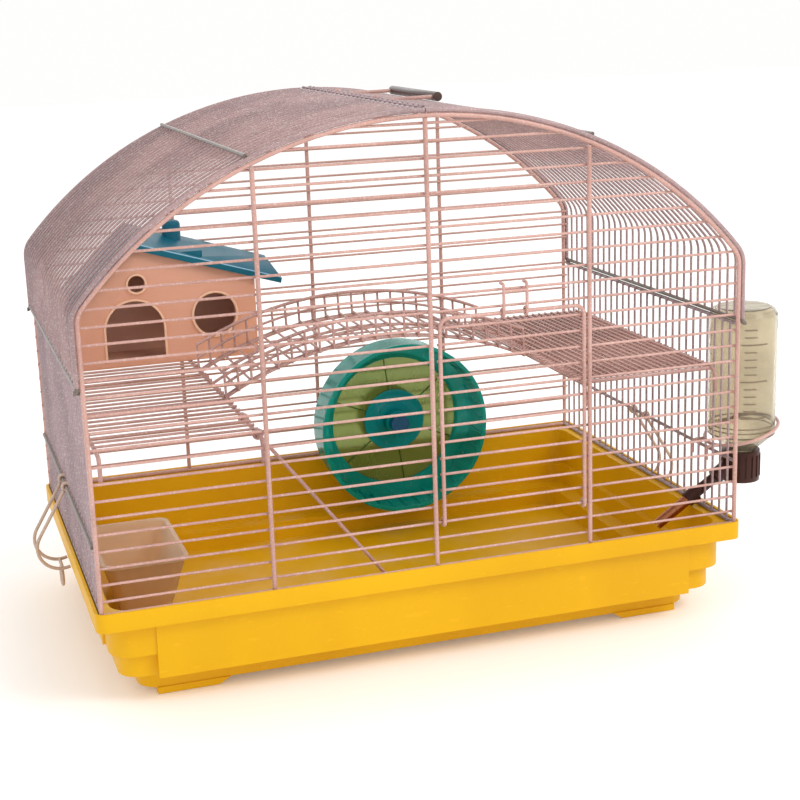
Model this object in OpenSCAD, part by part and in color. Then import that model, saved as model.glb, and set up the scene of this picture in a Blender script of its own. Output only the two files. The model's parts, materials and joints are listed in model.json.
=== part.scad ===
// Hamster cage: a moulded tray, a wire cage with an arched roof in two halves, a front door,
// two shelves joined by a bridge, a ladder, a running wheel, a house, a dish and a drinking bottle.
// Millimetres. The origin is on the ground under the middle of the tray, X runs to the right,
// Y to the back and Z up. Every panel is a row of straight round wires laid against thicker ones.

/* [Tray] */
// width of the tray over its rim
tray_w = 420; // [380:1:460]
// depth of the tray over its rim
tray_d = 279; // [250:1:300]
// height of the rim above the ground
rim_h = 65; // [55:1:75]
// thickness of the moulded tray walls
tray_wall = 2.5; // [2:0.1:4]
// plan radius of the rim corners
rim_r = 6.5; // [6:0.1:7]
// plan radius of the corners under the rim
tray_r = 20; // [14:1:24]

/* [Wire cage] */
// half distance between the two side panels
cage_x = 206; // [190:1:207]
// half distance between the front and back frames
cage_y = 135.4; // [120:0.1:136]
// diameter of the thick frame wire
frame_d = 2.8; // [2.6:0.1:3]
// diameter of the thin wires
bar_d = 1.6; // [1.4:0.1:1.7]
// diameter of the cross wires
cross_d = 2.4; // [2:0.1:3]
// height step of the thin wires in the front and back panels
bar_pitch = 10.1; // [9:0.1:11]
// number of spaces between the frames along a side panel
side_gaps = 28; // [24:1:30]
// height of the wire that the side clips hang on
low_z = 104.3; // [100:0.1:110]
// height of the seam between the side panels and the roof
seam_z = 197; // [185:1:205]

/* [Arched roof] */
// radius of the arch of the front frame
arch_r = 265.3; // [262:0.1:270]
// height of the centre of the arch
arch_z = 72.8; // [70:0.1:76]
// radius of the bend where the arch meets the upright
bend_r = 15; // [10:1:20]
// how far the roof wires sit outside the frame
roof_step = 3; // [2.9:0.1:4]

/* [Door] */
// left side of the door
door_x0 = 5.6; // [4:0.1:8]
// right side of the door
door_x1 = 99.4; // [96:0.1:99.4]
// height of the top bar of the door
door_top = 218.5; // [212:0.1:219]
// diameter of the door frame wire
door_d = 2.4; // [2:0.1:3]

/* [Shelves and bridge] */
// height of the left shelf frame
left_shelf_z = 156; // [150:0.5:160]
// height of the right shelf frame
right_shelf_z = 166.5; // [160:0.5:172]
// front end of the bridge across the cage
bridge_y0 = -40; // [-60:1:-30]
// back end of the bridge across the cage
bridge_y1 = 45; // [40:1:74]
// height of the bridge guards
guard_h = 16; // [14:1:24]
// number of spaces between the slats of the bridge
slat_gaps = 22; // [16:1:24]

/* [Ladder] */
// width of the ladder in spaces of the left shelf
ladder_gaps = 4; // [3:1:6]
// number of rungs
rungs = 15; // [12:1:18]

/* [House] */
// left side of the house
house_x0 = -196; // [-198:1:-180]
// right side of the house
house_x1 = -56; // [-70:1:-50]
// front of the house
house_y0 = 84; // [80:1:100]
// back of the house
house_y1 = 129; // [120:1:130]
// wall thickness of the house
house_wall = 2.2; // [1.8:0.1:3]

/* [Wheel] */
// outside radius of the wheel over its front rim
wheel_r = 64.5; // [58:0.5:66]
// height of the axle
wheel_z = 90.35; // [88:0.05:92]
// distance of the axle from the middle of the cage
wheel_x = 53; // [45:1:60]
// depth of the drum
wheel_w = 30; // [24:1:36]
// diameter of the axle
axle_d = 6; // [4:0.5:8]
// number of ridges to run on
ridges = 36; // [24:1:48]

/* [Bottle] */
// distance of the bottle axis from the middle of the cage
bottle_x = 235.5; // [233:0.5:240]
// outside diameter of the bottle
bottle_d = 45; // [40:1:50]
// height of the top of the bottle
bottle_top = 198; // [180:1:210]
// slope of the drinking tube under the horizontal
spout_tilt = 33; // [25:1:40]
// diameter of the drinking tube
spout_d = 7.3; // [6:0.1:7.3]

/* [Hidden] */
weld = 0.03;
run_gap = 0.05;
side_pitch = 2 * cage_y / side_gaps;
roof_r = arch_r + roof_step;
roof_x = cage_x + roof_step;
bend_x = cage_x - bend_r;
bend_z = arch_z + sqrt(pow(arch_r - bend_r, 2) - pow(bend_x, 2));
bend_a = acos(bend_x / (arch_r - bend_r));
ledge_z = rim_h - 3;
foot_z = ledge_z + 0.05 + frame_d / 2;
bar_y = cage_y - frame_d / 2 - bar_d / 2 - weld;
front_z0 = 71;
back_z0 = 75.2;
front_n = 27;
bar_end = 1.7;
ridge_x = 2.6;
roof_top = arch_z + roof_r;
cross_x = cage_x + bar_d / 2 + 1.1 + weld;
door_bar_z = front_z0 + 2 * bar_pitch;
side_end = bar_y - bar_d / 2 - 0.2;
door_loop_r = bar_d / 2 + run_gap + door_d / 2;
door_y = -bar_y - door_loop_r;
door_bar_y = door_y + door_d / 2 + bar_d / 2 + weld;
latch_d = 1.9;
latch_r = door_d / 2 + run_gap + latch_d / 2;
latch_x = [46, 61];
latch_top = 236.2;
handle_y = [-3.5 * side_pitch, 5.5 * side_pitch];
handle_d = 2.5;
handle_r = cross_d / 2 + run_gap + handle_d / 2;
grip_d = 6;
grip_x = 43;
grip_z = arch_z + sqrt(pow(roof_r, 2) - pow(grip_x, 2)) + bar_d / 2 + grip_d / 2 + 0.4;
clip_d = 2.2;
clip_y = [-0.5 * side_pitch, 1.5 * side_pitch];
clip_c = [cage_x + 8.7, 64];
clip_r = 15;
clip_eye = 1.1 + run_gap + clip_d / 2;
ls_x0 = -199.5;
ls_x1 = -104;
ls_y0 = -124;
ls_y1 = 131;
rs_x0 = 103;
rs_x1 = 194;
rs_y0 = -124;
rs_y1 = 76;
shelf_d = 2.6;
ladder_d = 2.2;
ladder_r = shelf_d / 2 + run_gap + ladder_d / 2;
ladder_foot = [-3.3, 24];
shelf_n = 26;
shelf_s = (ls_y1 - ls_y0 - 4) / shelf_n;
ladder_y0 = ls_y0 + 2 + shelf_s / 2;
ladder_y1 = ladder_y0 + ladder_gaps * shelf_s;
wheel_y0 = 82;
wheel_y1 = wheel_y0 + wheel_w;
bottle_y = -9.5 * side_pitch;
bottle_low = 99;
ring_r = 25;
ring_tilt = 15;
spout_start = [bottle_x, bottle_y, 93.7];
spout_dir = [-cos(spout_tilt), 0, -sin(spout_tilt)];
spout_len = 75;
ball_r = 2.5;

function half_at(z, r) = z <= bend_z ? cage_x + (r - arch_r)
    : z - arch_z <= r * sin(bend_a) && z <= bend_z + (bend_r + r - arch_r) * sin(bend_a)
    ? bend_x + sqrt(pow(bend_r + r - arch_r, 2) - pow(z - bend_z, 2))
    : sqrt(pow(r, 2) - pow(z - arch_z, 2));
function corner(w, d, r, n) = [for (q = [0:3]) for (i = [0:n])
    [(q == 0 || q == 3 ? 1 : -1) * (w / 2 - r) + r * cos(q * 90 + i * 90 / n),
     (q < 2 ? 1 : -1) * (d / 2 - r) + r * sin(q * 90 + i * 90 / n)]];
function run_on(z) = spout_start + (z - spout_start[2]) / spout_dir[2] * spout_dir;

module plate(w, d, r, z0, z1) {
    translate([0, 0, z0]) linear_extrude(z1 - z0) polygon(corner(w, d, r, 6));
}

module rod_x(x0, x1, y, z, d) {
    translate([x0, y, z]) rotate([0, 90, 0]) cylinder(h = x1 - x0, d = d, $fn = 32);
}

module rod_y(x, y0, y1, z, d) {
    translate([x, y0, z]) rotate([-90, 0, 0]) cylinder(h = y1 - y0, d = d, $fn = 32);
}

module rod_z(x, y, z0, z1, d) {
    translate([x, y, z0]) cylinder(h = z1 - z0, d = d, $fn = 32);
}

module rod(p, q, d) {
    v = q - p;
    translate(p) rotate([0, acos(v[2] / norm(v)), atan2(v[1], v[0])])
        cylinder(h = norm(v), d = d, $fn = 32);
}

module arc_xz(c, y, r, a0, a1, d) {
    translate([c[0], y, c[1]]) rotate([90, 0, 0]) rotate([0, 0, a0])
        rotate_extrude(angle = a1 - a0, $fn = r > 100 ? 360 : 96) translate([r, 0])
        circle(d = d, $fn = 32);
}

module arc_yz(x, c, r, a0, a1, d) {
    translate([x, c[0], c[1]]) rotate([90, 0, 90]) rotate([0, 0, a0])
        rotate_extrude(angle = a1 - a0, $fn = 96) translate([r, 0]) circle(d = d, $fn = 32);
}

// ---- tray ----

module base_tray() {
    w = tray_w;
    d = tray_d;
    t = 2 * tray_wall;
    color("#f0b400") union() {
        difference() {
            union() {
                plate(w, d, rim_r, 53.5, rim_h);
                plate(w - 16, d - 16, tray_r - 5, 33, 53.6);
                plate(w - 26, d - 26, tray_r - 6, 18, 33.1);
                plate(w - 51, d - 51, tray_r - 6, 4, 18.1);
                // flush middle of each long and short wall, which leaves the corners recessed
                translate([-(w - 70) / 2, -(d - 13) / 2, 18]) cube([w - 70, d - 13, 35.6]);
                translate([-(w - 13) / 2, -(d - 70) / 2, 33]) cube([w - 13, d - 70, 20.6]);
            }
            plate(w - 4, d - 4, rim_r - 4, ledge_z, rim_h + 1);
            plate(w - 21, d - 21, tray_r - 7, 35, ledge_z + 1);
            plate(w - 26 - t, d - 26 - t, tray_r - 8, 18 + tray_wall, 36);
            plate(w - 51 - t, d - 51 - t, tray_r - 8, 4 + tray_wall, 22);
        }
        // four corner feet with sloped inner ends
        for (sx = [-1, 1]) for (sy = [-1, 1])
            translate([sx * 174, sy * 104, 0]) rotate([90, 0, 0]) linear_extrude(22, center = true)
                polygon([[0, 0], [0, 4.2], [-sx * 45, 4.2], [-sx * 38, 0]]);
        // low pad under the middle of the floor
        cylinder(h = 4.2, d = 30, $fn = 48);
    }
}

// ---- front and back panels ----

module arch_frame(y) {
    g = weld / bend_r * 180 / PI;
    arc_xz([0, arch_z], y, arch_r, bend_a, 180 - bend_a, frame_d);
    arc_xz([bend_x, bend_z], y, bend_r, 0, bend_a - g, frame_d);
    arc_xz([-bend_x, bend_z], y, bend_r, 180 - bend_a + g, 180, frame_d);
    for (x = [-cage_x, cage_x]) rod_z(x, y, ledge_z + 0.05, bend_z - weld, frame_d);
}

module uprights(y) {
    top_side = arch_z + sqrt(pow(arch_r - frame_d / 2 - weld, 2) - pow(103 + frame_d / 2, 2));
    rod_z(0, y, foot_z + frame_d / 2 + weld, arch_z + arch_r - frame_d / 2 - weld - 0.01, frame_d);
    for (x = [-103, 103]) rod_z(x, y, foot_z + frame_d / 2 + weld, top_side, frame_d);
    rod_x(-cage_x + frame_d / 2 + weld, cage_x - frame_d / 2 - weld, y, foot_z, frame_d);
}

module front_panel() {
    color("#dcb4aa") {
        arch_frame(-cage_y);
        uprights(-cage_y);
        for (i = [0:front_n - 1]) {
            z = front_z0 + i * bar_pitch;
            h = half_at(z, arch_r) + bar_end;
            if (i < 3 || i > 14) rod_x(-h, h, -bar_y, z, bar_d);
            else {
                rod_x(-h, frame_d / 2, -bar_y, z, bar_d);
                rod_x(103 - frame_d / 2, h, -bar_y, z, bar_d);
            }
        }
    }
}

module back_panel() {
    color("#dcb4aa") {
        arch_frame(cage_y);
        uprights(cage_y);
        for (i = [0:front_n - 2]) {
            z = back_z0 + i * bar_pitch;
            h = half_at(z, arch_r) + bar_end;
            rod_x(-h, h, bar_y, z, bar_d);
        }
    }
}

// ---- side panels ----

module side_panel(s) {
    e = cage_y - frame_d / 2 - 0.2;
    rod_y(s * cage_x, -e, e, foot_z, frame_d);
    rod_y(s * (cage_x + bar_d / 2 + cross_d / 2 + weld), -side_end, side_end, seam_z - 1.3, cross_d);
    rod_y(s * cross_x, -side_end, side_end, low_z, 2.2);
    for (i = [1:side_gaps - 1])
        rod_z(s * cage_x, -cage_y + i * side_pitch, foot_z + frame_d / 2 + weld, seam_z - 0.2, bar_d);
}

module left_panel() {
    color("#d2b4b4") side_panel(-1);
}

module right_panel() {
    color("#d2b4b4") side_panel(1);
}

// ---- roof ----

module roof_half(s) {
    top_a = 90 - asin((ridge_x + cross_d / 2 + weld) / roof_r);
    edge_a = 90 - asin(0.3 / roof_r);
    e = cage_y - frame_d / 2 - 0.1;
    low = seam_z + 1.3 + cross_d / 2 + weld;
    c = roof_r + bar_d / 2 + cross_d / 2 + weld;
    rod_y(s * ridge_x, -e, e, roof_top, cross_d);
    rod_y(s * roof_x, -e, e, seam_z + 1.3, cross_d);
    rod_y(s * 106, -e, e, arch_z + sqrt(pow(c, 2) - pow(106, 2)), cross_d);
    for (i = [1:side_gaps - 1])
        roof_wire(s, -cage_y + i * side_pitch, top_a, low, bar_d);
    // thick edge wires; their low ends turn outward over the seam
    for (y = [-cage_y, cage_y]) {
        roof_wire(s, y, edge_a, seam_z + 2, frame_d);
        arc_xz([s * (roof_x + 2.4), seam_z + 2 - weld], y, 2.4, s > 0 ? 180 : 270, s > 0 ? 270 : 360, frame_d);
    }
}

// One arched wire of a roof half as its arc, its bend and its upright.
module roof_wire(s, y, a_top, z_low, d) {
    r = bend_r + roof_step;
    g = weld / r * 180 / PI;
    arc_xz([0, arch_z], y, roof_r, s > 0 ? bend_a : 180 - a_top, s > 0 ? a_top : 180 - bend_a, d);
    arc_xz([s * bend_x, bend_z], y, r, s > 0 ? 0 : 180 - bend_a + g, s > 0 ? bend_a - g : 180, d);
    rod_z(s * roof_x, y, z_low, bend_z - weld, d);
}

module roof_left() {
    color("#d2b4b4") roof_half(-1);
}

module roof_right() {
    color("#d2b4b4") roof_half(1);
}

// ---- door, latch, handle, clips ----

module front_door() {
    r = 6;
    color("#dcb4aa") {
        union() {
            for (x = [door_x0, door_x1]) {
                rod_z(x, door_y, door_bar_z, door_top - r, door_d);
                arc_yz(x, [-bar_y, door_bar_z], door_loop_r, 180, 480, door_d);
            }
            arc_xz([door_x0 + r, door_top - r], door_y, r, 90, 180, door_d);
            arc_xz([door_x1 - r, door_top - r], door_y, r, 0, 90, door_d);
            rod_x(door_x0 + r, door_x1 - r, door_y, door_top, door_d);
        }
        for (i = [3:14])
            rod_x(door_x0 - door_d / 2, door_x1 + door_d / 2, door_bar_y,
                front_z0 + i * bar_pitch, bar_d);
    }
}

module door_latch() {
    y = door_y - latch_r;
    color("#c8aaa0") union() {
        for (x = latch_x) {
            arc_yz(x, [door_y, door_top], latch_r, 180, 470, latch_d);
            rod_z(x, y, door_top, latch_top - 2, latch_d);
            arc_yz(x, [y + 2, latch_top - 2], 2, 90, 180, latch_d);
            rod_y(x, y + 2, -bar_y + 1, latch_top, latch_d);
        }
        rod_x(latch_x[0], latch_x[1], y, latch_top - 4.5, latch_d);
    }
}

module carry_handle() {
    color("#c8aaa0") for (y = handle_y) union() {
        arc_xz([ridge_x, roof_top], y, handle_r, 0, 360, handle_d);
        rod([ridge_x + handle_r, y, roof_top], [grip_x, y, grip_z], handle_d);
    }
}

module handle_grip() {
    color("#463232") difference() {
        rod_y(grip_x, handle_y[0] - 3, handle_y[1] + 3, grip_z, grip_d);
        for (y = handle_y) rod([ridge_x + handle_r, y, roof_top], [grip_x, y, grip_z], handle_d + 0.04);
    }
}

// A clip hangs on the low cross wire, bulges outward and hooks under the rim of the tray.
module side_clip(s) {
    e = [cross_x, low_z];
    v = clip_c - e;
    a = atan2(-v[1], -v[0]) - acos(clip_r / norm(v));
    b = a;
    t = clip_c + clip_r * [cos(b), sin(b)];
    u = (t - e) / norm(t - e);
    p = e + (clip_eye + clip_d / 2 + weld) * u;
    low = clip_c[1] - clip_r;
    for (y = clip_y) {
        arc_xz([s * e[0], e[1]], y, clip_eye, 0, 360, clip_d);
        rod([s * p[0], y, p[1]], [s * (t[0] - weld * u[0]), y, t[1] - weld * u[1]], clip_d);
        arc_xz([s * clip_c[0], clip_c[1]], y, clip_r, s > 0 ? -110 : 180 - b, s > 0 ? b : 290, clip_d);
    }
    rod_y(s * clip_c[0], clip_y[0] + clip_d / 2 + weld, clip_y[1] - clip_d / 2 - weld, low, clip_d);
    arc_yz(s * clip_c[0], [(clip_y[0] + clip_y[1]) / 2, low - clip_d - weld - 6], 6, 0, 360, clip_d);
}

module left_clip() {
    color("#c8aaa0") side_clip(-1);
}

module right_clip() {
    color("#c8aaa0") side_clip(1);
}

// ---- shelves, bridge and ladder ----

// A frame wire along Y whose front end turns down behind the front panel.
module shelf_rail(x, y0, y1, z, drop) {
    r = 5;
    union() {
        rod_y(x, y0, y1, z, shelf_d);
        arc_yz(x, [y0, z - r], r, 90, 180, shelf_d);
        rod_z(x, y0 - r, z - drop, z - r, shelf_d);
    }
}

module left_shelf() {
    z = left_shelf_z + shelf_d / 2 + bar_d / 2 + weld;
    color("#d8b4aa") {
        shelf_rail(ls_x0, ls_y0, ls_y1, left_shelf_z, 14);
        shelf_rail(ls_x1, ls_y0, ls_y1, left_shelf_z, 14);
        for (i = [0:shelf_n]) rod_x(ls_x0 - 1.2, ls_x1 + 1.2, ls_y0 + 2 + i * shelf_s, z, bar_d);
    }
}

module right_shelf() {
    d = 1.3;
    nx = 18;
    ny = 40;
    z1 = right_shelf_z + shelf_d / 2 + d / 2 + weld;
    z2 = z1 + d + weld;
    px = (rs_x1 - rs_x0) / nx;
    py = (rs_y1 - rs_y0 - 4) / ny;
    color("#d8b4aa") {
        shelf_rail(rs_x0, rs_y0, rs_y1, right_shelf_z, 14);
        shelf_rail(rs_x1, rs_y0, rs_y1, right_shelf_z, 14);
        rod_x(rs_x0 + shelf_d / 2 + weld, rs_x1 - shelf_d / 2 - weld, rs_y0 + 1, right_shelf_z, shelf_d);
        rod_x(rs_x0 + shelf_d / 2 + weld, rs_x1 - shelf_d / 2 - weld, rs_y1 - 2, right_shelf_z, shelf_d);
        for (i = [0:ny]) rod_x(rs_x0 - 1, rs_x1 + 1, rs_y0 + 2 + i * py, z1, d);
        for (i = [1:nx - 1]) rod_y(rs_x0 + i * px, rs_y0 + 1, rs_y1 - 1, z2, d);
    }
}

// The bridge follows one arc of the vertical plane between the two shelf rails.
br_p = [ls_x1 - 2.5, left_shelf_z + 4.4];
br_q = [rs_x0 - 5, right_shelf_z + 1.2];
br_l = norm(br_q - br_p);
br_s = 25;
br_r = (pow(br_l / 2, 2) + br_s * br_s) / (2 * br_s);
br_t = atan2(br_q[1] - br_p[1], br_q[0] - br_p[0]);
br_c = (br_p + br_q) / 2 + (br_r - br_s) * [sin(br_t), -cos(br_t)];
br_a = asin(br_l / 2 / br_r);

function on_bridge(k, up) = br_c + (br_r + up) * [cos(90 + br_t + br_a - 2 * br_a * k),
    sin(90 + br_t + br_a - 2 * br_a * k)];

module bridge_arc(y, up, d) {
    arc_xz(br_c, y, br_r + up, 90 + br_t - br_a, 90 + br_t + br_a, d);
}

module bridge_floor() {
    color("#d8b4aa") {
        for (y = [bridge_y0 + 4, (bridge_y0 + bridge_y1) / 2, bridge_y1 - 4]) bridge_arc(y, 0, 2.0);
        for (i = [0:slat_gaps]) {
            p = on_bridge(i / slat_gaps, 1 + bar_d / 2 + weld);
            rod_y(p[0], bridge_y0 - 1, bridge_y1 + 1, p[1], bar_d);
        }
    }
}

// The guards' posts stand square to the line between the bridge's ends, beside the arched wires.
module bridge_guards() {
    low = 0.15;
    half = (br_r + low) * sin(br_a);
    color("#d8b4aa") for (s = [0, 1]) {
        y = s == 0 ? bridge_y0 : bridge_y1;
        w = y + (s == 0 ? -1 : 1) * (1.1 + bar_d / 2 + weld);
        for (u = [low, low + guard_h / 2, low + guard_h]) {
            a = asin((half + 0.8) / (br_r + u));
            arc_xz(br_c, y, br_r + u, 90 + br_t - a, 90 + br_t + a, u > low + guard_h - 1 ? 2.2 : 1.7);
        }
        for (i = [0:slat_gaps]) {
            e = (br_r + low) * sin(br_a - 2 * br_a * i / slat_gaps);
            p = br_c + sqrt(pow(br_r + low, 2) - e * e) * [-sin(br_t), cos(br_t)]
                - e * [cos(br_t), sin(br_t)];
            q = br_c + sqrt(pow(br_r + low + guard_h, 2) - e * e) * [-sin(br_t), cos(br_t)]
                - e * [cos(br_t), sin(br_t)];
            n = 0.7 * (q - p) / norm(q - p);
            rod([p[0] - n[0], w, p[1] - n[1]], [q[0] + n[0], w, q[1] + n[1]], bar_d);
        }
    }
}

module ladder() {
    top = [ls_x1, left_shelf_z];
    v = ladder_foot - top;
    u = v / norm(v);
    g = 14;
    color("#d8b4aa") union() {
        for (y = [ladder_y0, ladder_y1]) {
            arc_xz(top, y, ladder_r, 0, 360, ladder_d);
            rod([top[0] + ladder_r * u[0], y, top[1] + ladder_r * u[1]],
                [ladder_foot[0], y, ladder_foot[1]], ladder_d);
        }
        for (i = [0:rungs - 1]) {
            p = top + (g + i * (norm(v) - g - 4) / (rungs - 1)) * u;
            rod_y(p[0], ladder_y0, ladder_y1, p[1], bar_d);
        }
    }
}

// ---- house ----

h_z0 = left_shelf_z + shelf_d / 2 + bar_d + 2 * weld + 0.05;
h_rt = 215;
h_ax = -140;
h_az = 241;
h_lt = 190;

module gable(grow, x0, x1, low) {
    polygon([[x0, low], [x1, low], [x1, h_rt + grow], [h_ax, h_az + grow], [x0, h_lt + grow]]);
}

module house_body() {
    w = house_wall;
    color("#e8a888") union() {
        difference() {
            translate([0, house_y1, 0]) rotate([90, 0, 0]) linear_extrude(house_y1 - house_y0)
                gable(0, house_x0, house_x1, h_z0);
            translate([0, house_y1 - w, 0]) rotate([90, 0, 0]) linear_extrude(house_y1 - house_y0 - 2 * w)
                gable(2, house_x0 + w, house_x1 - w, h_z0 + w);
            // open top between the two gables
            translate([0, house_y1 - w, 0]) rotate([90, 0, 0]) linear_extrude(house_y1 - house_y0 - 2 * w)
                polygon([[house_x0 - 1, h_lt], [h_ax, h_az], [house_x1 + 1, h_rt - 0.4], [house_x1 + 1, 260],
                    [house_x0 - 1, 260]]);
            // arched doorway, round window and small round hole
            translate([-163.5, house_y0 - 1, h_z0 + 4.3]) cube([41, w + 2, 21.5]);
            translate([-143, house_y0 - 1, h_z0 + 25.8]) rotate([-90, 0, 0]) cylinder(h = w + 2, r = 20.5, $fn = 64);
            translate([-86, house_y0 - 1, 191]) rotate([-90, 0, 0]) cylinder(h = w + 2, r = 15, $fn = 64);
            translate([-140, house_y0 - 1, 217]) rotate([-90, 0, 0]) cylinder(h = w + 2, r = 5.8, $fn = 48);
        }
        // raised rims round the window and the hole
        translate([-86, house_y0 + 0.2, 191]) rotate([90, 0, 0]) difference() {
            cylinder(h = 1.4, r = 16.6, $fn = 64);
            translate([0, 0, -1]) cylinder(h = 4, r = 15, $fn = 64);
        }
        translate([-140, house_y0 + 0.2, 217]) rotate([90, 0, 0]) difference() {
            cylinder(h = 1.4, r = 7.2, $fn = 48);
            translate([0, 0, -1]) cylinder(h = 4, r = 5.8, $fn = 48);
        }
    }
}

// One slope of the roof between two points of its lower edge line; its top rises to the back.
module roof_slope(p, q, t0, t1) {
    rise = 9;
    hull() for (k = [0, 1]) translate([0, k == 0 ? house_y0 - 5 : house_y1 + 2, 0]) rotate([90, 0, 0])
        linear_extrude(0.5) polygon([p, q, q + [0.8, t1 + k * rise], p + [0, t0 + k * rise]]);
}

module house_roof() {
    g = 0.35;
    color("#00789b") union() {
        roof_slope([-203, h_lt - 6.3 + g], [h_ax, h_az + g], 3, 4);
        roof_slope([h_ax, h_az + g], [-38, h_rt - 5.6 + g], 4, 3.6);
        // ribs that locate the roof between the two gables
        for (y = [house_y0 + house_wall + 0.4, house_y1 - house_wall - 2])
            translate([-132, y, 226]) cube([40, 1.6, 10.5]);
        // rounded chimney on the right slope
        translate([-106.6, 122, 235]) rotate_extrude($fn = 48) polygon([[0, 0], [6.5, 0], [6.5, 16.5],
            [6.1, 18], [5, 19.1], [3.5, 19.5], [0, 19.5]]);
    }
}

// ---- wheel ----

module turned(y) {
    translate([wheel_x, y, wheel_z]) rotate([-90, 0, 0]) children();
}

module wheel_drum() {
    color("#008c82") union() {
        turned(wheel_y0) difference() {
            union() {
                cylinder(h = 3, r = wheel_r, $fn = 128);
                cylinder(h = wheel_w, r = wheel_r - 1, $fn = 128);
            }
            translate([0, 0, -1]) cylinder(h = wheel_w - 1, r = wheel_r - 3, $fn = 128);
            cylinder(h = wheel_w + 1, r = 49, $fn = 96);
        }
        turned(wheel_y0) for (i = [0:ridges - 1]) rotate([0, 0, i * 360 / ridges])
            translate([wheel_r - 4.2, -0.7, 2]) cube([2.2, 1.4, wheel_w - 3]);
    }
}

module wheel_back_disc() {
    color("#96b43c") turned(wheel_y1 + weld) difference() {
        cylinder(h = 2, r = 52, $fn = 96);
        translate([0, 0, -1]) cylinder(h = 4, r = 9.03, $fn = 64);
    }
}

module wheel_hub() {
    color("#008c82") turned(wheel_y1 - 10) difference() {
        union() {
            cylinder(h = 13, r = 9, $fn = 64);
            translate([0, 0, 8]) cylinder(h = 1.9, r = 14, $fn = 64);
        }
        translate([0, 0, -1]) cylinder(h = 16, r = axle_d / 2 + run_gap, $fn = 64);
    }
}

module wheel_axle() {
    color("#dcdcd2") union() {
        turned(wheel_y1 - 16.5) cylinder(h = 5, r = 7, $fn = 64);
        turned(wheel_y1 - 16) cylinder(h = 44, d = axle_d, $fn = 64);
    }
}

module wheel_mount_disc() {
    color("#007896") turned(116) difference() {
        union() {
            translate([0, 0, 12.5]) cylinder(h = 3.3, r = 23.8, $fn = 96);
            cylinder(h = 13, r = 8, $fn = 64);
        }
        translate([0, 0, -1]) cylinder(h = 20, r = axle_d / 2 + 0.04, $fn = 64);
    }
}

module wheel_clamp_nut() {
    color("#007896") turned(134) difference() {
        union() {
            cylinder(h = 3, r = 13, $fn = 64);
            cylinder(h = 7, r = 7, $fn = 6);
        }
        translate([0, 0, -1]) cylinder(h = 10, r = axle_d / 2 + 0.04, $fn = 64);
    }
}

// ---- dish ----

module dish_form(w, d, b, e, z0, z1) {
    hull() {
        translate([-165.8, -3.5, z0]) linear_extrude(0.1) polygon(corner(b, e, 5, 4));
        translate([-165.8, -3.5, z1 - 0.1]) linear_extrude(0.1) polygon(corner(w, d, 7, 4));
    }
}

module food_dish() {
    color("#ebc890") difference() {
        union() {
            dish_form(54, 87, 23.5, 60, 6.6, 60);
            translate([-165.8, -3.5, 58]) linear_extrude(2) polygon(corner(56.5, 89.5, 8, 5));
        }
        dish_form(50.6, 83.6, 20.1, 56.6, 8.6, 60.05);
    }
}

// ---- bottle ----

module bottle_at(z) {
    translate([bottle_x, bottle_y, z]) children();
}

module bottle_body() {
    r = bottle_d / 2;
    color("#dce1e1") bottle_at(0) rotate_extrude($fn = 96) polygon([
        [7.5, 91], [9.5, 91], [9.5, bottle_low + 0.5], [r, bottle_low + 12], [r, bottle_top - 5],
        [r - 2, bottle_top - 1.5], [r - 5, bottle_top], [0, bottle_top], [0, bottle_top - 1.6],
        [r - 5.4, bottle_top - 1.6], [r - 1.6, bottle_top - 5.4], [r - 1.6, bottle_low + 12.6],
        [7.5, bottle_low + 1.2]]);
}

module bottle_cap() {
    color("#4b1e12") difference() {
        union() {
            bottle_at(78) cylinder(h = 21, d = 25.5, $fn = 64);
            for (i = [0:17]) bottle_at(81) rotate([0, 0, i * 20]) translate([12.2, -0.7, 0]) cube([1.2, 1.4, 15]);
        }
        bottle_at(88.9) cylinder(h = 12, d = 19.06, $fn = 64);
        bottle_at(84) cylinder(h = 8, d = 12, $fn = 64);
        rod(spout_start + 11.1 * spout_dir, spout_start + 22 * spout_dir, 11.04);
        rod(spout_start + 3 * spout_dir, spout_start + 12 * spout_dir, 6.04);
    }
}

module bottle_seal() {
    color("#282828") bottle_at(88.95) difference() {
        cylinder(h = 2, d = 18.9, $fn = 64);
        translate([0, 0, -1]) cylinder(h = 4, d = 13, $fn = 64);
    }
}

module spout_elbow() {
    color("#4b1e12") difference() {
        union() {
            rod(spout_start + 11.2 * spout_dir, run_on(80.8), 11);
            rod(run_on(81.5), run_on(68), 7.36);
            rod(run_on(71.8), run_on(67.4), 10.4);
        }
        rod(spout_start, run_on(60), 6.04);
    }
}

module spout_tube() {
    color("#96502d") difference() {
        union() {
            rod(spout_start + 14 * spout_dir, run_on(66), 6);
            rod(run_on(67.3), spout_start + spout_len * spout_dir, spout_d);
        }
        rod(spout_start, spout_start + (spout_len - 0.8) * spout_dir, 5.3);
        rod(spout_start, spout_start + (spout_len + 1) * spout_dir, 4.3);
    }
}

module spout_ball() {
    color("#c8c8cd") translate(spout_start + (spout_len - 0.8 - 1.36) * spout_dir) sphere(r = ball_r, $fn = 48);
}

// A ring round the foot of the bottle, its outer side raised, with two arms hooked over the low wire.
module bottle_holder() {
    z = low_z + 2.3;
    h = sqrt(pow(ring_r, 2) - pow(side_pitch, 2));
    x = bottle_x - h * cos(ring_tilt);
    b = 2.6;
    color("#dcb4aa") union() {
        bottle_at(z + h * sin(ring_tilt)) rotate([0, -ring_tilt, 0]) rotate_extrude($fn = 128)
            translate([ring_r, 0]) circle(d = 2.2, $fn = 32);
        for (y = [bottle_y - side_pitch, bottle_y + side_pitch]) {
            rod_x(cage_x - 2 + b, x, y, z, 2.2);
            arc_xz([cage_x - 2 + b, z - b], y, b, 90, 180, 2.2);
            rod_z(cage_x - 2, y, z - 9, z - b, 2.2);
        }
    }
}

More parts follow.
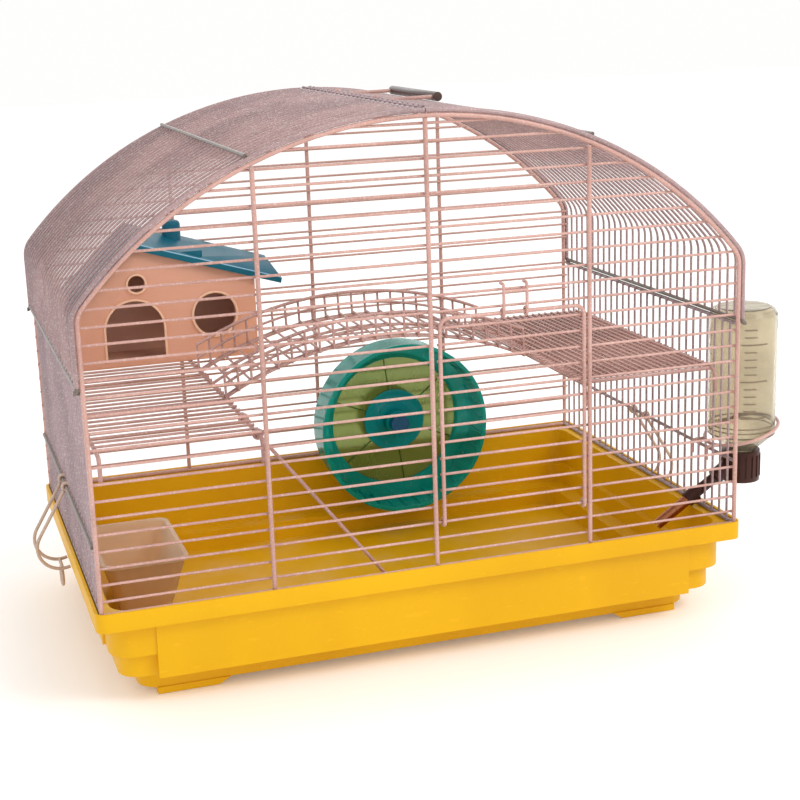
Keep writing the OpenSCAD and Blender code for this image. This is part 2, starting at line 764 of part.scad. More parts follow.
base_tray();
front_panel();
back_panel();
left_panel();
right_panel();
roof_left();
roof_right();
front_door();
door_latch();
carry_handle();
handle_grip();
left_clip();
right_clip();
left_shelf();
right_shelf();
bridge_floor();
bridge_guards();
ladder();
house_body();
house_roof();
wheel_drum();
wheel_back_disc();
wheel_hub();
wheel_axle();
wheel_mount_disc();
wheel_clamp_nut();
food_dish();
bottle_body();
bottle_cap();
bottle_seal();
spout_elbow();
spout_tube();
spout_ball();
bottle_holder();
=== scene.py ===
# %% [markdown]
# A hamster cage: a moulded tray, a welded wire cage with an arched roof, and the furniture inside it.
# The measured model comes in first and stays where it is. Everything in this lesson is added to it,
# in metres, with the ground at height zero, X to the right, Y to the back and Z up.
# %% Load the measured cage
import json
import math

import bpy
from mathutils import Matrix, Vector

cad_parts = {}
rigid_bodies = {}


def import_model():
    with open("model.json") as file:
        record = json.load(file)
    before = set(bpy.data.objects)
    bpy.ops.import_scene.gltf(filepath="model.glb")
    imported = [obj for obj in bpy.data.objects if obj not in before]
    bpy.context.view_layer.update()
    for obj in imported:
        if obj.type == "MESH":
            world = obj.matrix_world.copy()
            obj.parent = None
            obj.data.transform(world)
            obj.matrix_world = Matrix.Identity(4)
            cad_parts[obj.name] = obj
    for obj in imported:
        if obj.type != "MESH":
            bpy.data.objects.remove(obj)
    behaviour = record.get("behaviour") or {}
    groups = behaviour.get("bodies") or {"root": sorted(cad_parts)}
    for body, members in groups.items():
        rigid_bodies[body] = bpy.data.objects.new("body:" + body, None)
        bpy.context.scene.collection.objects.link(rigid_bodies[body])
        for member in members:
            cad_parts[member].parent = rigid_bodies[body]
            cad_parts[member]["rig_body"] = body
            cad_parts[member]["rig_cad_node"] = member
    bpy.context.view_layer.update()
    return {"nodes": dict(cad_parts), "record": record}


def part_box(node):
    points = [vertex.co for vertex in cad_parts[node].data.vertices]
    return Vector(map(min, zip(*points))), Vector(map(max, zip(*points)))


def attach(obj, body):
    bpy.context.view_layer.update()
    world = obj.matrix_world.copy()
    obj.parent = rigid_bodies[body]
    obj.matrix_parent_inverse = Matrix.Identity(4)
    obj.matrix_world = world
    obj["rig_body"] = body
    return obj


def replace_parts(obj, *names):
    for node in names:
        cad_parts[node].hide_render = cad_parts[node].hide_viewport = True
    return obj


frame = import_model()
parts = frame["nodes"]
body_with = {node: body for body, nodes in frame["record"]["behaviour"]["bodies"].items() for node in nodes}
mm = 0.001

# %% [markdown]
# The camera stands in front of the cage, a little to its left and above it, so that the front, the
# left side and the top all show. A long lens keeps the upright wires nearly parallel.
# %% Place the camera
camera_data = bpy.data.cameras.new("camera")
camera_data.lens = 70.57
camera_data.sensor_width = 36
camera = bpy.data.objects.new("camera", camera_data)
bpy.context.scene.collection.objects.link(camera)
camera.location = (-0.2966, -0.9968, 0.4046)
look = Vector((0.2954, 0.9223, -0.2492))
camera_up = Vector((0.1082, 0.2269, 0.9679))
camera_right = look.cross(camera_up).normalized()
camera.rotation_euler = Matrix((camera_right, camera_right.cross(look), -look)).transposed().to_euler()
bpy.context.scene.camera = camera
print("camera stands", round(camera.location.length, 2), "m from the middle of the tray")

# %% [markdown]
# The room is plain: a pale floor, a white sky that fills the shadows, and two large soft lamps.
# The main lamp stands to the front right, so that the left side of the tray falls into shade.
# %% Build the studio
scene = bpy.context.scene
scene.view_settings.view_transform = "Standard"
scene.world = bpy.data.worlds.new("studio_sky")
scene.world.use_nodes = True
sky = scene.world.node_tree.nodes["Background"]
sky.inputs["Color"].default_value = (1.0, 0.995, 0.985, 1)
sky.inputs["Strength"].default_value = 1.0
cage_middle = Vector((0, 0, 0.15))


def lamp(name, place, size, power, colour=(1, 1, 1)):
    """A square soft lamp that faces the middle of the cage."""
    data = bpy.data.lights.new(name, "AREA")
    data.energy, data.size, data.color = power, size, colour
    light = bpy.data.objects.new(name, data)
    light.location = place
    light.rotation_euler = (cage_middle - Vector(place)).to_track_quat("-Z", "Y").to_euler()
    scene.collection.objects.link(light)


lamp("main_lamp", (1.0, -1.3, 1.5), 0.8, 17, (1.0, 0.97, 0.92))
lamp("side_lamp", (-1.7, -0.5, 1.1), 1.2, 2.5, (0.92, 0.95, 1.0))
lamp("back_lamp", (0.3, 1.6, 1.2), 1.2, 4)

# %% [markdown]
# Every finish is a small tree of shader nodes. Writing the sums as Python expressions keeps them
# readable: a Reading is one socket, and adding or multiplying it adds the Math node that does so.
# %% A class for shader sums
class Reading:
    """One number that varies over a surface."""

    def __init__(self, finish, socket):
        self.finish, self.socket = finish, socket

    def sum(self, operation, *values):
        return self.finish.node("ShaderNodeMath", {"operation": operation}, dict(enumerate(values)))

    def __add__(self, other):
        return self.sum("ADD", self, other)

    def __sub__(self, other):
        return self.sum("SUBTRACT", self, other)

    def __rsub__(self, other):
        return self.sum("SUBTRACT", other, self)

    def __mul__(self, other):
        return self.sum("MULTIPLY", self, other)

    def between(self, low, high):
        """0 below low, 1 above high, and a smooth rise from one to the other."""
        return self.finish.node("ShaderNodeMapRange", {"interpolation_type": "SMOOTHSTEP"},
            {"Value": self, "From Min": low, "From Max": high})

    def band(self, start, end, soft):
        """1 from start to end and 0 outside, with edges that are soft wide."""
        return self.between(start, start + soft) - self.between(end, end + soft)


# %% [markdown]
# A Finish is one material. Its node method takes a node's type, its settings and its sockets, and
# gives back the socket that comes out, so each finish below reads as a list of what it is made of.
# %% A class for finishes
class Finish:
    """One material on Blender's standard shader."""

    def __init__(self, name, **shader):
        self.material = bpy.data.materials.new(name)
        self.material.use_nodes = True
        self.tree = self.material.node_tree
        self.shader = self.tree.nodes["Principled BSDF"]
        for socket, value in shader.items():
            self.shader.inputs[socket.replace("_", " ")].default_value = value

    def node(self, kind, settings=None, inputs=None, out=0):
        made = self.tree.nodes.new(kind)
        for setting, value in (settings or {}).items():
            if setting == "stops":
                while len(made.color_ramp.elements) < len(value):
                    made.color_ramp.elements.new(0.5)
                for stop, (at, colour) in zip(made.color_ramp.elements, value):
                    stop.position, stop.color = at, (*colour, 1)
            else:
                setattr(made, setting, value)
        for socket, value in (inputs or {}).items():
            if isinstance(value, Reading):
                self.tree.links.new(value.socket, made.inputs[socket])
            else:
                made.inputs[socket].default_value = value
        return Reading(self, made.outputs[out])

    def place(self):
        return self.node("ShaderNodeTexCoord", out="Object")

    def noise(self, scale, detail, stretch=(1, 1, 1)):
        """Soft random patches; scale is about how many there are in a metre."""
        at = self.node("ShaderNodeMapping", None, {"Vector": self.place(), "Scale": stretch})
        return self.node("ShaderNodeTexNoise", None, {"Vector": at, "Scale": scale, "Detail": detail})

    def mix(self, share, first, second):
        """A colour that goes from first to second as share goes from 0 to 1."""
        first_socket, second_socket, colour_out = 6, 7, 2
        colours = {first_socket: first, second_socket: second}
        ready = {k: (*v, 1) if isinstance(v, tuple) else v for k, v in colours.items()}
        return self.node("ShaderNodeMix", {"data_type": "RGBA"}, {0: share, **ready}, out=colour_out)

    def feed(self, socket, reading):
        self.tree.links.new(reading.socket, self.shader.inputs[socket])

    def relief(self, height, depth, strength):
        """Bumps of a height between 0 and 1, depth metres deep."""
        self.feed("Normal", self.node("ShaderNodeBump", None,
            {"Height": height, "Distance": depth, "Strength": strength}))


finishes = {}
print("shader helpers are ready")

# %% [markdown]
# The wires are steel with a baked powder coat. The powder melts into a smooth skin that is slightly
# dimpled, like orange peel. Its colour drifts a little over the cage, grime gathers in faint
# patches, and small chips show the grey zinc underneath. A few long wires get a dark painted
# shade, so a mask for each says where it goes. Noise and position masks give all of this without
# any drawn picture.
# %% The coated wire finish
def coated_wire(name, pale, deep, chips=0.012, shade_mask=None):
    """Powder coat over steel wire, between a pale and a deep tone; the last argument masks where dark
    painted shade lies.
    """
    light_speck, seam_shade_colour, bare_zinc = (0.95, 0.9, 0.86), (0.12, 0.1, 0.075), (0.34, 0.32, 0.31)
    grime = tuple(c * 0.72 for c in deep)
    coat = Finish(name, Coat_Weight=0.2, Coat_Roughness=0.3)
    chipped = coat.noise(260, 4).between(0.74 - chips, 0.76 - chips)
    tone = coat.mix(coat.noise(14, 3).between(0.35, 0.68), pale, deep)
    dusty = coat.mix(coat.noise(55, 4).between(0.5, 0.72) * 0.35, tone, grime)
    speckled = coat.mix(coat.noise(900, 2).between(0.52, 0.66) * 0.18, dusty, light_speck)
    if shade_mask:
        # Painted shade: under the mask the coat is darkened to a near-black brown.
        speckled = coat.mix(shade_mask(coat) * 0.85, speckled, seam_shade_colour)
    coat.feed("Base Color", coat.mix(chipped, speckled, bare_zinc))
    coat.feed("Roughness", coat.noise(120, 2) * 0.22 + 0.26)
    coat.feed("Metallic", chipped * 0.7)
    coat.relief(coat.noise(1500, 2) - chipped * 0.8, 0.12 * mm, 0.55)
    finishes[name] = coat.material


def away(coat, axis):
    """How far a point is from the middle of the cage along one axis, in metres."""
    reading = coat.node("ShaderNodeSeparateXYZ", None, {0: coat.place()}, out=axis)
    return reading.sum("ABSOLUTE", reading)


# Masks of where the dark painted shade lies on the side and roof wires.
def side_seams(coat):
    """The two long wires that lie outside the side's uprights."""
    uprights_end, seams_start = 206.95 * mm, 207.1 * mm
    return away(coat, "X").between(uprights_end, seams_start)


def roof_seams(coat):
    """The roof's lowest long wire and the one that crosses halfway up."""
    arch_middle, roof_skin, lowest_wire = 72.8 * mm, 269.25 * mm, 199.5 * mm
    sideways, rise = away(coat, "X"), away(coat, "Z") - arch_middle
    squared = sideways * sideways + rise * rise
    outside = squared.sum("SQRT", squared).between(roof_skin, roof_skin + 0.15 * mm)
    halfway = sideways.band(104.2 * mm, 107.4 * mm, 0.4 * mm)
    return outside * halfway + (1 - away(coat, "Z").between(lowest_wire, lowest_wire + 0.3 * mm))


# The side and roof coats are darker, greyer copies of the front coat: painted shade on the side and roof
# wires.
coated_wire("wire_front", (0.56, 0.32, 0.275), (0.47, 0.25, 0.21))
coated_wire("wire_side", (0.37, 0.262, 0.28), (0.28, 0.2, 0.22), shade_mask=side_seams)
coated_wire("wire_roof_painted_shade", (0.37, 0.24, 0.24), (0.27, 0.175, 0.18), shade_mask=roof_seams)
coated_wire("wire_inner", (0.5, 0.285, 0.25), (0.38, 0.2, 0.175), 0.02)
coated_wire("wire_clip", (0.55, 0.4, 0.31), (0.42, 0.29, 0.22), 0.03)
print("wire finishes:", sorted(finishes))

# %% [markdown]
# The tray, the house and the other mouldings are polypropylene from an injection mould. It has a
# fine satin grain from the steel of the mould, faint flow streaks where the melt met itself, hair
# scratches from cleaning, and a film of dust on the faces that look upwards.
# %% The moulded plastic finish
def moulded(name, tone, deep, grain=1100, rough=0.34, dust=0.12, **shader):
    """Satin injection-moulded plastic, with flow streaks, scratches and dust."""
    dust_colour, scratch_colour = (0.75, 0.68, 0.56), tuple(min(1, c * 1.25 + 0.02) for c in tone)
    plastic = Finish(name, **shader)
    flow = plastic.noise(9, 4, (1, 1, 0.25)).between(0.36, 0.66)
    along = plastic.noise(85, 2, (1, 14, 3)).between(0.66, 0.7)
    crossing = plastic.noise(70, 2, (12, 1, 4)).between(0.67, 0.71)
    scratch = along + crossing
    facing = plastic.node("ShaderNodeNewGeometry", out="Normal")
    up = plastic.node("ShaderNodeSeparateXYZ", None, {0: facing}, out="Z").between(0.5, 1.0)
    film = up * plastic.noise(26, 4).between(0.4, 0.8) * dust
    marked = plastic.mix(scratch * 0.16, plastic.mix(flow, tone, deep), scratch_colour)
    plastic.feed("Base Color", plastic.mix(film, marked, dust_colour))
    plastic.feed("Roughness", plastic.noise(40, 3) * 0.16 + rough - 0.08 + film * 0.6 + scratch * 0.12)
    plastic.relief(plastic.noise(grain, 2) - scratch * 0.5, 0.14 * mm, 0.4)
    finishes[name] = plastic.material


moulded("tray_plastic", (0.76, 0.415, 0.0005), (0.69, 0.36, 0.0005), rough=0.42, Specular_IOR_Level=0.22)
moulded("house_plastic", (0.75, 0.385, 0.265), (0.69, 0.34, 0.225), grain=1500, rough=0.42)
# The rim finish is lighter than the wall: painted light for the thin lips round the openings.
moulded("house_rim_painted_light", (0.88, 0.56, 0.38), (0.82, 0.5, 0.33), grain=1500, rough=0.36)
moulded("roof_plastic", (0.001, 0.13, 0.19), (0.001, 0.095, 0.155), rough=0.42, dust=0.03,
    Specular_IOR_Level=0.25)
# The edge finish is a painted highlight: much lighter than the roof, for the line along its front bead.
moulded("roof_edge_painted_highlight", (0.28, 0.5, 0.68), (0.2, 0.42, 0.6), rough=0.26, dust=0.02)
moulded("grip_plastic", (0.07, 0.035, 0.03), (0.045, 0.022, 0.02), rough=0.3, dust=0.2)
moulded("cap_plastic", (0.05, 0.011, 0.006), (0.032, 0.007, 0.004), dust=0.03, Specular_IOR_Level=0.25)
moulded("axle_plastic", (0.002, 0.13, 0.27), (0.001, 0.09, 0.22), rough=0.26, dust=0.05)
moulded("seal_rubber", (0.03, 0.03, 0.032), (0.02, 0.02, 0.022), grain=2200, rough=0.62)
print("finishes so far:", len(finishes))

# %% [markdown]
# The wheel and the dish are see-through tinted plastic. Light passes into the wall and comes out
# tinted, so the shader lets part of it through and blurs it slightly, and the flow streaks show as
# clearer and denser patches.
# %% The tinted plastic finish
def tinted(name, tone, deep, clear, dust, rough=0.12, **shader):
    """See-through tinted plastic with faint streaks, dust and hair scratches."""
    dust_colour = (0.8, 0.8, 0.68)
    plastic = Finish(name, Transmission_Weight=clear, IOR=1.3, Specular_IOR_Level=0.3, **shader)
    flow = plastic.noise(16, 4, (1, 0.4, 1)).between(0.34, 0.68)
    hair = plastic.noise(120, 2, (10, 1, 1)).between(0.67, 0.72)
    base = plastic.mix(flow, tone, deep)
    cloudy = plastic.noise(45, 4).between(0.5, 0.85) * dust
    plastic.feed("Base Color", plastic.mix(cloudy + hair * 0.12, base, dust_colour))
    plastic.feed("Roughness", plastic.noise(60, 3) * 0.12 + rough + cloudy * 0.5)
    plastic.relief(plastic.noise(500, 2) + hair * 0.5, 0.1 * mm, 0.35)
    finishes[name] = plastic.material


tinted("wheel_teal", (0.0, 0.4, 0.34), (0.0, 0.33, 0.26), 0.3, dust=0.02, Alpha=0.9)
tinted("wheel_green", (0.29, 0.38, 0.09), (0.22, 0.32, 0.07), 0.5, rough=0.1, dust=0.05, Alpha=0.9)
tinted("wheel_rib", (0.14, 0.28, 0.06), (0.11, 0.24, 0.05), 0.7, dust=0.03)
tinted("disc_teal", (0.001, 0.3, 0.33), (0.001, 0.24, 0.28), 0.1, dust=0.04)
tinted("dish_plastic", (0.93, 0.74, 0.55), (0.88, 0.66, 0.46), 0.62, rough=0.34, dust=0.25)
print("tinted finishes are ready")

# %% [markdown]
# The bottle is blown clear plastic, printed with a plain filling scale in brown ink: a short line
# every 5 mm, a longer one every 25 mm, and two rings low down. The ink is a second shader laid over
# the clear one where the marks are, so the wall between them stays clear.
# %% The bottle finish
bottle_low, bottle_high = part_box("bottle_body")
bottle_x, bottle_y = (bottle_low.x + bottle_high.x) / 2, (bottle_low.y + bottle_high.y) / 2
short_every, long_every = 5 * mm, 25 * mm
scale_start, scale_end = 122 * mm, 186 * mm
ring_heights, ring_wide = (114.5 * mm, 117.5 * mm), 0.7 * mm


def clear_bottle():
    """Clear blown plastic with a printed scale on its front."""
    clear = Finish("bottle_clear", Transmission_Weight=0.9, IOR=1.25)
    tint = clear.mix(clear.noise(30, 3).between(0.4, 0.7), (0.8, 0.74, 0.6), (0.7, 0.63, 0.5))
    clear.feed("Base Color", tint)
    clear.feed("Roughness", clear.noise(90, 3) * 0.12 + 0.03)
    clear.relief(clear.noise(60, 3), 0.9 * mm, 0.5)
    axes = clear.node("ShaderNodeSeparateXYZ", None, {0: clear.place()}).socket.node
    x, y, z = (Reading(clear, axes.outputs[i]) for i in range(3))
    short_step = z.sum("FRACT", z * (1 / short_every))
    short_line = short_step.band(0.0, 0.14, 0.06)
    long_step = z.sum("FRACT", z * (1 / long_every))
    long_line = long_step.band(0.0, 0.03, 0.012)
    sideways = x - bottle_x
    past_short = x.sum("ABSOLUTE", sideways + 6 * mm).between(3.5 * mm, 4 * mm)
    past_long = x.sum("ABSOLUTE", sideways + 3 * mm).between(8.5 * mm, 9 * mm)
    front = 1 - y.between(bottle_y - 12 * mm, bottle_y - 11.5 * mm)
    marks = short_line * (1 - past_short) + long_line * (1 - past_long)
    ink = marks.sum("MINIMUM", marks, 1.0) * front * z.band(scale_start, scale_end, 0.2 * mm) * 0.85
    for height in ring_heights:
        ink = ink + z.band(height, height + ring_wide, 0.1 * mm) * 0.7
    haze = clear.noise(24, 5, (1, 1, 0.6)).between(0.42, 0.7) * 0.22
    paint = clear.node("ShaderNodeBsdfDiffuse", None, {"Color": (0.25, 0.19, 0.13, 1)})
    over = clear.node("ShaderNodeMixShader", None, {0: ink + haze,
        1: Reading(clear, clear.shader.outputs[0]), 2: paint})
    clear.tree.links.new(over.socket, clear.tree.nodes["Material Output"].inputs["Surface"])
    finishes["bottle_clear"] = clear.material


clear_bottle()
print("the scale is centred on x =", round(bottle_x / mm, 1), "mm")

# %% [markdown]
# The drinking tube is drawn through a die, which leaves fine lines on its metal, and its metal is
# coloured a warm brown. The ball in its end is polished steel.
# %% The tube and ball finishes
tube = Finish("spout_metal", Metallic=1.0)
lines = tube.noise(260, 2, (1, 18, 6))
tube.feed("Base Color", tube.mix(lines.between(0.4, 0.7), (0.42, 0.17, 0.08), (0.27, 0.095, 0.045)))
tube.feed("Roughness", lines * 0.2 + 0.16)
tube.relief(lines, 0.05 * mm, 0.3)
finishes["spout_metal"] = tube.material
steel = Finish("ball_steel", Metallic=1.0)
steel.feed("Base Color", steel.mix(steel.noise(700, 2), (0.75, 0.75, 0.77), (0.6, 0.6, 0.62)))
steel.feed("Roughness", steel.noise(900, 2) * 0.1 + 0.06)
finishes["ball_steel"] = steel.material
print("all finishes:", len(finishes))

# %% [markdown]
# Each part of the measured cage gets its finish by name. A part keeps its own mesh, and only its
# material slots change.
# %% Dress the measured parts
dress = {
    "wire_front": ["front_panel", "back_panel", "front_door", "door_latch", "bottle_holder"],
    "wire_side": ["left_panel", "right_panel"],
    "wire_roof_painted_shade": ["roof_left", "roof_right"],
    "wire_inner": ["left_shelf", "right_shelf", "bridge_floor", "bridge_guards", "ladder", "carry_handle"],
    "wire_clip": ["left_clip", "right_clip"],
    "tray_plastic": ["base_tray"],
    "house_plastic": ["house_body"],
    "roof_plastic": ["house_roof"],
    "grip_plastic": ["handle_grip"],
    "wheel_teal": ["wheel_drum"],
    "wheel_green": ["wheel_back_disc"],
    "disc_teal": ["wheel_hub", "wheel_mount_disc", "wheel_clamp_nut"],
    "axle_plastic": ["wheel_axle"],
    "dish_plastic": ["food_dish"],
    "bottle_clear": ["bottle_body"],
    "cap_plastic": ["bottle_cap", "spout_elbow"],
    "seal_rubber": ["bottle_seal"],
    "spout_metal": ["spout_tube"],
    "ball_steel": ["spout_ball"],
}


def paint(piece, name):
    """Gives a new piece one finish all over."""
    piece.data.materials.clear()
    piece.data.materials.append(finishes[name])


for name, nodes in dress.items():
    for node in nodes:
        if parts[node].material_slots:
            for place in parts[node].material_slots:
                place.material = finishes[name]
        else:
            parts[node].data.materials.append(finishes[name])
print("dressed", sum(len(nodes) for nodes in dress.values()), "of", len(parts), "parts")

# %% [markdown]
# New pieces are modelled with the same tools as by hand. Operators act on what is selected, so
# these helpers clear the selection, pick faces or edges by where they are, and finish a piece.
# %% Modelling helpers
def alone(piece):
    """Selects one piece and nothing else."""
    if bpy.context.object and bpy.context.object.mode != "OBJECT":
        bpy.ops.object.mode_set(mode="OBJECT")
    bpy.ops.object.select_all(action="DESELECT")
    piece.select_set(True)
    bpy.context.view_layer.objects.active = piece
    return piece


def pick(piece, kind, test):
    """In edit mode, selects the piece's faces, edges or points whose middle passes the test."""
    bpy.ops.object.mode_set(mode="OBJECT")
    mesh = piece.data
    for group in (mesh.vertices, mesh.edges, mesh.polygons):
        for element in group:
            element.select = False
    points = [v.co.copy() for v in mesh.vertices]
    if kind == "FACE":
        for face in mesh.polygons:
            face.select = test(face.center, face.normal)
    elif kind == "EDGE":
        for edge in mesh.edges:
            start, end = (points[i] for i in edge.vertices)
            edge.select = test((start + end) / 2, (end - start).normalized())
    else:
        for point in mesh.vertices:
            point.select = test(point.co, point.normal)
    bpy.ops.object.mode_set(mode="EDIT")
    bpy.ops.mesh.select_mode(type=kind)


def edit(piece):
    alone(piece)
    bpy.ops.object.mode_set(mode="EDIT")
    bpy.ops.mesh.select_all(action="SELECT")


def apply_modifier(piece, kind, **settings):
    """Adds a modifier, sets it and applies it."""
    alone(piece)
    modifier = piece.modifiers.new(kind.lower(), kind)
    for setting, value in settings.items():
        setattr(modifier, setting, value)
    bpy.ops.object.modifier_apply(modifier=modifier.name)


def done(piece, name, body, slot, finish=None, angle=35, clean=True):
    """Puts the place into the mesh, cleans it, smooths it, paints it and mounts it on its body."""
    alone(piece)
    bpy.ops.object.transform_apply(location=True, rotation=True, scale=True)
    if clean:
        edit(piece)
        bpy.ops.mesh.remove_doubles(threshold=0.000005)
        bpy.ops.mesh.normals_make_consistent(inside=False)
        alone(piece)
    bpy.ops.object.shade_smooth_by_angle(angle=math.radians(angle))
    piece.name = piece.data.name = name
    paint(piece, finish or slot)
    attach(piece, body)
    print(f"{name}: {len(piece.data.polygons)} faces, on {body}")
    return piece


print("modelling helpers are ready")

# %% [markdown]
# A real moulding has no sharp edge: the tool's corners are rounded so that the plastic flows and
# the edges don't cut. Each moulded part is copied, its loose triangles are joined into whole
# faces, and every edge is rolled over by a small bevel that catches the light.
# %% Round the edges of the mouldings
def softened(node, name, radius, finish, steps=3, angle=38):
    """A copy of a measured part with its edges rounded."""
    alone(parts[node])
    bpy.ops.object.duplicate()
    piece = bpy.context.view_layer.objects.active
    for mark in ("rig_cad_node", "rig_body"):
        if mark in piece:
            del piece[mark]
    edit(piece)
    bpy.ops.mesh.remove_doubles(threshold=0.000012)
    bpy.ops.mesh.dissolve_limited(angle_limit=math.radians(0.6))
    alone(piece)
    apply_modifier(piece, "BEVEL", width=radius * mm, segments=steps, limit_method="ANGLE",
        angle_limit=math.radians(angle), harden_normals=False, use_clamp_overlap=True)
    done(piece, name, body_with[node], finish, angle=32, clean=False)
    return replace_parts(piece, node)


softened("base_tray", "tray_moulding", 0.9, "tray_plastic")
softened("house_body", "house_shell", 0.5, "house_plastic")
softened("house_roof", "house_roof_moulding", 0.6, "roof_plastic")
softened("wheel_drum", "wheel_drum_moulding", 0.35, "wheel_teal", 2)
softened("food_dish", "food_dish_moulding", 1.0, "dish_plastic")
softened("bottle_cap", "bottle_cap_moulding", 0.3, "cap_plastic", 2)
softened("handle_grip", "handle_grip_moulding", 1.2, "grip_plastic")
softened("wheel_mount_disc", "mount_disc_moulding", 0.8, "disc_teal")
softened("wheel_clamp_nut", "clamp_nut_moulding", 0.5, "disc_teal")

# %% [markdown]
# The cage is resistance welded: current melts each crossing of two wires, and a small collar of
# metal is squeezed out, which the powder coat rounds over. One collar is modelled from a sphere
# with few faces, flattened, and repeated at every crossing of a panel.
# %% Weld collars
cage_x, cage_y, pitch = 206.0, 135.4, 10.1
arch_r, arch_z = 265.3, 72.8
bend_r, bend_x, bend_z, bend_end = 15.0, 191.0, 234.5, math.radians(40.3)
side_pitch = 2 * cage_y / 28
post_x, seam_x, seam_r = 103, 106, 269.2
bar_y, weld_out, frame_in = 133.17, 0.85, 0.6
panel_bead, side_bead, seam_bead = (1.4, 0.75, 1.05), (0.7, 1.2, 1.3), (1.2, 1.2, 0.8)


def half_width(z):
    """Half the width of the arched frame at a height, in mm."""
    if z < bend_z:
        return cage_x
    if z < bend_z + bend_r * math.sin(bend_end):
        return bend_x + math.sqrt(bend_r**2 - (z - bend_z) ** 2)
    return math.sqrt(arch_r**2 - (z - arch_z) ** 2)


def collars(name, places, size, body, slot):
    """One weld collar repeated at each place, all in mm; size is half its width along X, Y and Z."""
    bpy.ops.object.select_all(action="DESELECT")
    bpy.ops.mesh.primitive_uv_sphere_add(segments=8, ring_count=4, radius=mm,
        location=Vector(places[0]) * mm)
    piece = bpy.context.object
    edit(piece)
    bpy.ops.transform.resize(value=size)
    for here, there in zip(places, places[1:]):
        step = (Vector(there) - Vector(here)) * mm
        bpy.ops.mesh.duplicate_move(TRANSFORM_OT_translate={"value": step})
    return done(piece, name, body, slot, angle=80, clean=False)


def panel_places(y, low, count):
    """Crossings of a front or back panel's bars with its uprights and frame."""
    rows = [low + i * pitch for i in range(count)]
    top = {0: 333.9, post_x: 316.0}
    posts = [(x, y, z) for x in (-post_x, 0, post_x) for z in rows if z < top[abs(x)]]
    return posts + [(s * (half_width(z) - frame_in), y, z) for s in (-1, 1) for z in rows]


collars("front_weld_collars", panel_places(-bar_y - weld_out, 71, 27), panel_bead, "cage", "wire_front")
collars("back_weld_collars", panel_places(bar_y + weld_out, 75.2, 26), panel_bead, "cage", "wire_front")
side_rows = [-cage_y + i * side_pitch for i in range(1, 28)]
seam_z = arch_z + math.sqrt(seam_r**2 - seam_x**2)
for side, word in ((-1, "left"), (1, "right")):
    low = [(side * (cage_x + weld_out), y, z) for z in (104.3, 195.7) for y in side_rows]
    collars(f"{word}_side_weld_collars", low, side_bead, "cage", "wire_side")
    over = [(side * seam_x, y, seam_z) for y in side_rows]
    collars(f"{word}_roof_weld_collars", over, seam_bead, "cage", "wire_side")

# %% [markdown]
# A shelf's cross wires lie on its two rails and are welded to both of them. Its collars sit under
# the cross wires, so they are flatter than those of a panel, and the fine mesh has narrower ones.
# %% Weld collars of the shelves
shelf_front, left_z, right_z = -122, 157.35, 167.85
left_pitch, right_pitch = 251 / 26, 4.9
left_rails = [(x, shelf_front + i * left_pitch, left_z) for x in (-199.5, -104) for i in range(27)]
collars("left_shelf_weld_collars", left_rails, (1.2, 1.2, 0.55), "cage", "wire_inner")
right_rails = [(x, shelf_front + i * right_pitch, right_z) for x in (103, 194) for i in range(41)]
collars("right_shelf_weld_collars", right_rails, (1.2, 0.95, 0.5), "cage", "wire_inner")

# %% [markdown]
# Along the top ridge every roof wire ends in a small hook that is curled round the ridge wire, so
# the two halves of the roof meet in a row of tight loops. One hook is a round section spun most of
# the way round the ridge wire, and an Array modifier sets the rest a wire's pitch apart.
# %% Hooks along the ridge
ridge_x, ridge_z = 2.6, 341.1
hook_r, hook_wire, hook_turn = 2.0, 0.8, math.radians(290)
# Both rows of hooks take the side's darker coat, which is painted shade.
for side, word in ((-1, "left"), (1, "right")):
    bpy.ops.object.select_all(action="DESELECT")
    centre = Vector((side * ridge_x, side_rows[0], ridge_z)) * mm
    bpy.ops.mesh.primitive_circle_add(vertices=8, radius=hook_wire * mm, fill_type="NGON",
        location=centre + Vector((side * hook_r * mm, 0, 0)))
    hook = bpy.context.object
    edit(hook)
    bpy.ops.mesh.spin(steps=12, angle=-side * hook_turn, center=centre, axis=(0, 1, 0))
    alone(hook)
    bpy.ops.object.transform_apply(location=True, rotation=True, scale=True)
    edit(hook)
    bpy.ops.mesh.remove_doubles(threshold=0.000005)
    bpy.ops.mesh.select_all(action="SELECT")
    bpy.ops.mesh.normals_make_consistent(inside=False)
    apply_modifier(hook, "ARRAY", count=len(side_rows), use_relative_offset=False,
        use_constant_offset=True, constant_offset_displace=(0, side_pitch * mm, 0))
    done(hook, f"{word}_ridge_hooks", "cage", "wire_side", angle=60, clean=False)

# %% [markdown]
# The window and the vent of the house each have a thin raised lip. Its lighter colour is painted
# light, standing in for light shining through the thin plastic. The lip of a round opening is a ring,
# flattened against the wall.
# %% Lips of the round openings
wall_front = 84.0


def ring_lip(name, x, z, radius, thick):
    """A flat ring round a round opening in the front wall of the house."""
    bpy.ops.object.select_all(action="DESELECT")
    lip_y = wall_front - 1.2
    bpy.ops.mesh.primitive_torus_add(major_radius=radius * mm, minor_radius=thick * mm,
        major_segments=64, minor_segments=10, location=Vector((x, lip_y, z)) * mm,
        rotation=(math.pi / 2, 0, 0))
    lip = bpy.context.object
    edit(lip)
    bpy.ops.transform.resize(value=(1, 0.6, 1))
    return done(lip, name, "cage", "house_plastic", "house_rim_painted_light", 60)


ring_lip("window_lip", -86, 191, 15.9, 0.9)
ring_lip("vent_lip", -140, 217, 6.6, 0.8)

